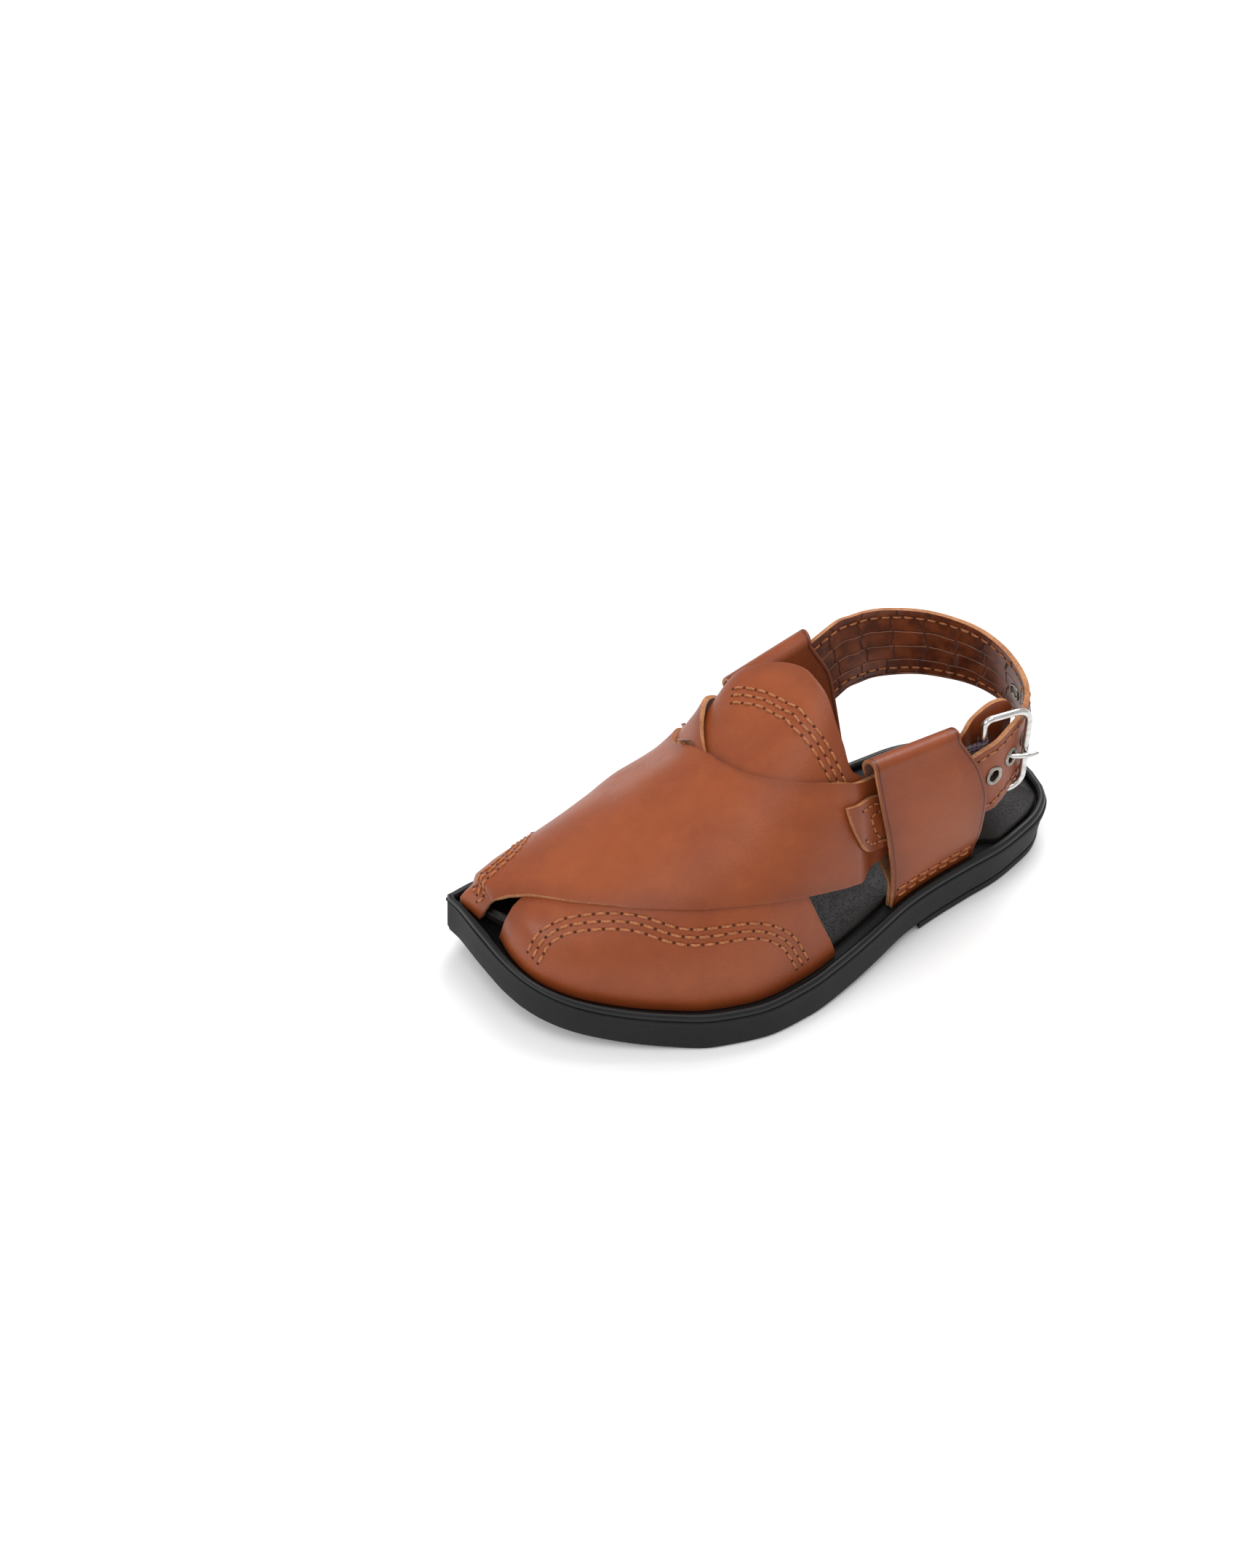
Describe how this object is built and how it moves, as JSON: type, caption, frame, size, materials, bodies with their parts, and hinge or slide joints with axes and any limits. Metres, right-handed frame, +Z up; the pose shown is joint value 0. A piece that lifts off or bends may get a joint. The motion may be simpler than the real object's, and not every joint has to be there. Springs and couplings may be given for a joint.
{
  "type": "leather sandal",
  "caption": "Open child's sandal, left: crossed leather vamp bands over a tongue, peep toe, folded side loops and a buckled heel strap on a black rubber sole.",
  "frame": {"origin": "centre of the heel's flat underside, on the ground plane", "axes": "+X to the toe along the sole, +Y to the outer side of the left foot, +Z up"},
  "size_m": [0.1965, 0.0984, 0.0814],
  "materials": {
    "rubber": "matt charcoal black",
    "gloss_rubber": "glossy black bead",
    "footbed": "smooth, very dark brown",
    "tan_leather": "semi-gloss cognac",
    "nickel": "bright nickel",
    "dull_nickel": "dull nickel",
    "webbing": "woven, purple grey"
  },
  "bodies": {
    "root": {"outsole": "rubber", "heel": "rubber", "welt": "gloss_rubber", "insole": "footbed", "upper": "tan_leather", "tongue": "tan_leather", "side_loop_outer": "tan_leather", "side_loop_inner": "tan_leather", "heel_strap": "tan_leather", "buckle_strap": "tan_leather", "buckle_frame": "nickel", "buckle_pin": "nickel", "buckle_web": "webbing", "eyelet_1": "dull_nickel", "eyelet_2": "dull_nickel", "eyelet_3": "dull_nickel", "eyelet_4": "dull_nickel", "eyelet_5": "dull_nickel"}
  },
  "joints": []
}
